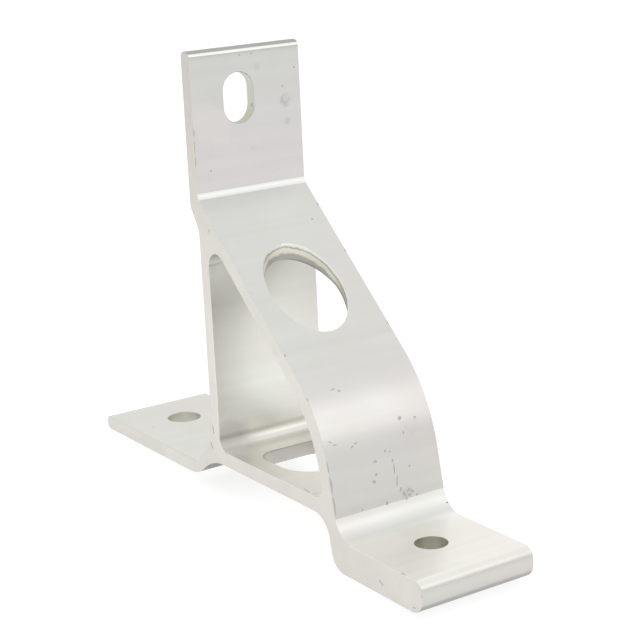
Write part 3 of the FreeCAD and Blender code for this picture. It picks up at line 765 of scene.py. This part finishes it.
# Inside: a duller, a little darker patch that takes the highlight off the near end of the fillet, and a
# painted light ring on the level web next to the opening.
INSIDE_LIGHT_PATCHES = [
    ((-12.0, -17.0, 23.0), 9.0, 0.0, (0.97, 0.95, 0.97), 0.30),
    ((5.0, -8.0, 20.4), 7.0, 0.85, (1.08, 1.07, 1.02), 0.0),
]


# Studio: the bracket leans back onto its heel and the end of its back foot, so the floor is the
# plane that touches both.
CAMERA_AIM = Vector((0.0182, 0.0, 0.0664))
CAMERA_DISTANCE = 0.5442
CAMERA_AZIMUTH = 56.757
CAMERA_ELEVATION = 15.224
CAMERA_ROLL = -2.71
LENS = 99.87
SENSOR = 36.0
FLOOR_SIZE = 8.0
WORLD_LIGHT = 0.96
WORLD_COLOUR = (1.0, 0.99, 0.975, 1.0)
FLOOR_GLOW = 0.83
SOFTBOX_TURN = 60.0


def resting_plane(outer):
    """Point and lean (radians, rising towards -X) of the plane under the heel and the back foot."""
    heel, heel_radius = outer["heel"]
    end, end_radius = outer["back_end_under"]
    foot_angle = math.radians(180 - LEG_ANGLE)
    heel_centre = heel + Vector((heel_radius / math.tan(foot_angle / 2), heel_radius))
    end_centre = end + Vector((end_radius, end_radius))
    span = heel_centre - end_centre
    lean = math.atan2(-span.y, span.x) + math.asin((heel_radius - end_radius) / span.length)
    down = Vector((-math.sin(lean), -math.cos(lean)))
    return heel_centre + down * heel_radius, lean


def add_floor():
    point, lean = resting_plane(section_corners()[0])
    mesh_data = bmesh.new()
    bmesh.ops.create_circle(mesh_data, cap_ends=True, segments=64, radius=FLOOR_SIZE / 2)
    nodes = Nodes("floor_paper")
    grain = nodes.noise((900, 900, 900), detail=2)
    shade = nodes.mix(grain, (0.29, 0.29, 0.29), (0.31, 0.31, 0.31))
    nodes.feed(nodes.shader.inputs["Base Color"], shade)
    nodes.feed(nodes.shader.inputs["Emission Color"], nodes.mix(grain, (1, 1, 1), (0.99, 0.99, 0.99)))
    nodes.shader.inputs["Emission Strength"].default_value = FLOOR_GLOW
    nodes.shader.inputs["Roughness"].default_value = 0.9
    nodes.shader.inputs["Specular IOR Level"].default_value = 0.0
    floor = new_piece("floor", mesh_data, [nodes.material])
    floor.matrix_world = (Matrix.Translation((point.x, 0, point.y))
                          @ Matrix.Rotation(lean, 4, "Y"))


def add_camera():
    azimuth, elevation, roll = (math.radians(angle) for angle in
                                (CAMERA_AZIMUTH, CAMERA_ELEVATION, CAMERA_ROLL))
    back = Vector((math.sin(azimuth) * math.cos(elevation),
                   -math.cos(azimuth) * math.cos(elevation), math.sin(elevation)))
    level = Vector((math.cos(azimuth), math.sin(azimuth), 0))
    up = back.cross(level)
    right = level * math.cos(roll) + up * math.sin(roll)
    up = back.cross(right)
    data = bpy.data.cameras.new("camera")
    data.lens, data.sensor_width = LENS, SENSOR
    camera = bpy.data.objects.new("camera", data)
    camera.matrix_world = Matrix.Translation(CAMERA_AIM + back * CAMERA_DISTANCE) @ Matrix(
        (right, up, back)).transposed().to_4x4()
    bpy.context.scene.collection.objects.link(camera)
    bpy.context.scene.camera = camera


def add_softbox(name, place, width, height, turn, radiance):
    """Rectangular soft light of an even radiance, aimed at the bracket."""
    data = bpy.data.lights.new(name, "AREA")
    data.shape = "RECTANGLE"
    data.size, data.size_y = width, height
    data.energy = math.pi * width * height * radiance
    light = bpy.data.objects.new(name, data)
    light.location = place
    light.rotation_mode = "QUATERNION"
    light.rotation_quaternion = ((Vector(place) - CAMERA_AIM).to_track_quat("Z", "Y")
                                 @ Quaternion((0, 0, 1), math.radians(turn)))
    bpy.context.scene.collection.objects.link(light)


def add_ceiling_light(direction, spread, strength):
    """Even light from one wide patch of the ceiling, so that the whole floor is as bright."""
    data = bpy.data.lights.new("ceiling_light", "SUN")
    data.angle, data.energy = math.radians(spread), strength
    light = bpy.data.objects.new("ceiling_light", data)
    light.rotation_mode = "QUATERNION"
    light.rotation_quaternion = Vector(direction).to_track_quat("Z", "Y")
    bpy.context.scene.collection.objects.link(light)


def add_studio():
    world = bpy.data.worlds.new("studio")
    world.use_nodes = True
    background = world.node_tree.nodes["Background"]
    background.inputs["Color"].default_value = WORLD_COLOUR
    background.inputs["Strength"].default_value = WORLD_LIGHT
    bpy.context.scene.world = world
    bpy.context.scene.view_settings.view_transform = "Standard"
    add_softbox("softbox", (0.455, 0.286, 0.350), 0.26, 0.17, SOFTBOX_TURN, 0.75)
    add_ceiling_light((0.1, 0.5, 0.85), 50, 0.04)
    add_floor()
    add_camera()


make_bracket([mill_finish("mill_finish", MILL_TINT_AND_LIGHT_HEIGHTS, stains_and_light_patches=MILL_STAINS_AND_LIGHT_PATCHES),
              mill_finish("inside_painted_light_finish", INSIDE_PAINTED_LIGHT_HEIGHTS, across=INSIDE_PAINTED_LIGHT_ACROSS, stains_and_light_patches=INSIDE_LIGHT_PATCHES),
              sawn_finish(), drilled_finish(), bruised_finish(),
              mill_finish("painted_highlight_finish", PAINTED_HIGHLIGHT_HEIGHTS, 0.12), bored_finish()])
add_studio()
